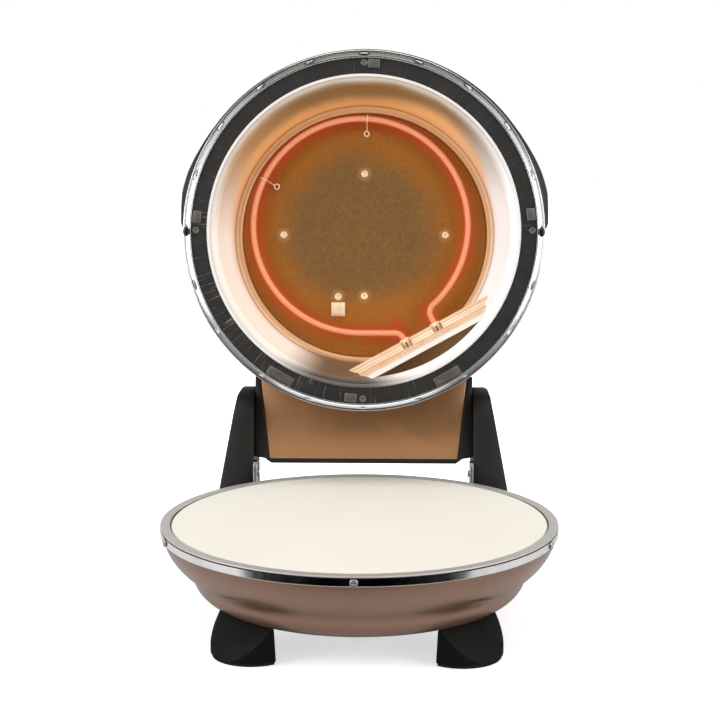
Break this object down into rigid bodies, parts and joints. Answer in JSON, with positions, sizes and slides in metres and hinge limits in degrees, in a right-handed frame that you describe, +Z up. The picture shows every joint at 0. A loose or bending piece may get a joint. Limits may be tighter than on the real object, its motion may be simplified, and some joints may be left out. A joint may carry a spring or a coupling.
{
  "type": "electric pizza maker",
  "caption": "Round countertop electric pizza maker with a baking stone in a footed bowl and a domed lid, with its own heating element, that swings back on hinge columns.",
  "frame": {"origin": "point on the counter plane straight under the baking stone's centre", "axes": "+Z up; +Y towards the hinge at the back; +X to the right of a cook who faces the front"},
  "size_m": [0.34, 0.4498, 0.4831],
  "materials": {
    "copper_shell": "satin copper-brown enamel",
    "chrome_band": "polished",
    "brushed_ring": "circular brushed",
    "gasket": "matte",
    "stone": "unglazed cordierite stone",
    "pan_steel": "plain",
    "reflector": "semi-bright aluminised",
    "element": "oxidised tube",
    "ceramic": "matte",
    "bright_steel": "bright",
    "zinc_steel": "zinc plated",
    "screws": "plated",
    "black_plastic": "fine texture",
    "black_gloss": "satin gloss",
    "black_enamel": "matte heat-proof enamel",
    "cable": "silicone",
    "wool": "fibrous",
    "brass": "satin",
    "red_lamp": "tinted lens",
    "green_lamp": "tinted lens"
  },
  "bodies": {
    "base": {"base_shell": "copper_shell", "base_rim_band": "chrome_band", "stone_trim_ring": "brushed_ring", "rim_gasket": "gasket", "pizza_stone": "stone", "inner_pan": "pan_steel", "lower_heating_element": "element", "lower_element_clips": "bright_steel", "lower_terminals": "ceramic", "thermal_cutout": "bright_steel", "terminal_block": "ceramic", "bottom_cover": "zinc_steel", "cover_screws": "screws", "cord_gland": "black_plastic", "left_foot": "black_plastic", "right_foot": "black_plastic", "foot_screws": "screws", "foot_pads": "gasket", "band_screws": "screws", "left_column": "black_plastic", "right_column": "black_plastic", "left_column_cover": "black_plastic", "right_column_cover": "black_plastic", "column_screws": "screws", "left_stop": "zinc_steel", "right_stop": "zinc_steel", "stop_screws": "screws", "left_hinge_pin": "zinc_steel", "right_hinge_pin": "zinc_steel", "hinge_cable": "cable"},
    "lid": {"lid_shell": "copper_shell", "lid_rim_band": "chrome_band", "lid_face_ring": "black_enamel", "lid_reflector": "reflector", "terminal_wall": "reflector", "upper_heating_element": "element", "upper_element_clips": "bright_steel", "upper_terminals": "bright_steel", "reflector_spacers": "bright_steel", "reflector_screws": "screws", "sensor_plate": "bright_steel", "insulation_blanket": "wool", "rim_clips": "bright_steel", "rim_plates": "bright_steel", "rim_screws": "screws", "lid_band_screws": "screws", "lid_fascia": "black_plastic", "control_housing": "black_plastic", "thermostat_switch": "ceramic", "timer_switch": "ceramic", "power_lamp": "red_lamp", "ready_lamp": "green_lamp", "lid_handle": "black_gloss", "handle_screws": "screws", "hinge_box": "black_plastic", "hinge_box_panel": "copper_shell", "hinge_plate": "bright_steel", "hinge_bushes": "brass"},
    "thermostat_dial": {"thermostat_knob": "black_gloss"},
    "timer_dial": {"timer_knob": "black_gloss"}
  },
  "joints": [
    {"name": "lid_hinge", "type": "hinge", "parent": "base", "child": "lid", "pos_m": [0, 0.1715, 0.141], "axis": [1, 0, 0], "range_deg": [0, 99.5]},
    {"name": "thermostat_turn", "type": "hinge", "parent": "lid", "child": "thermostat_dial", "pos_m": [0.036, 0.24023, 0.46384], "axis": [0, -0.7408, -0.6717], "range_deg": [0, 270]},
    {"name": "timer_turn", "type": "hinge", "parent": "lid", "child": "timer_dial", "pos_m": [-0.036, 0.24023, 0.46384], "axis": [0, -0.7408, -0.6717], "range_deg": [0, 300]}
  ]
}
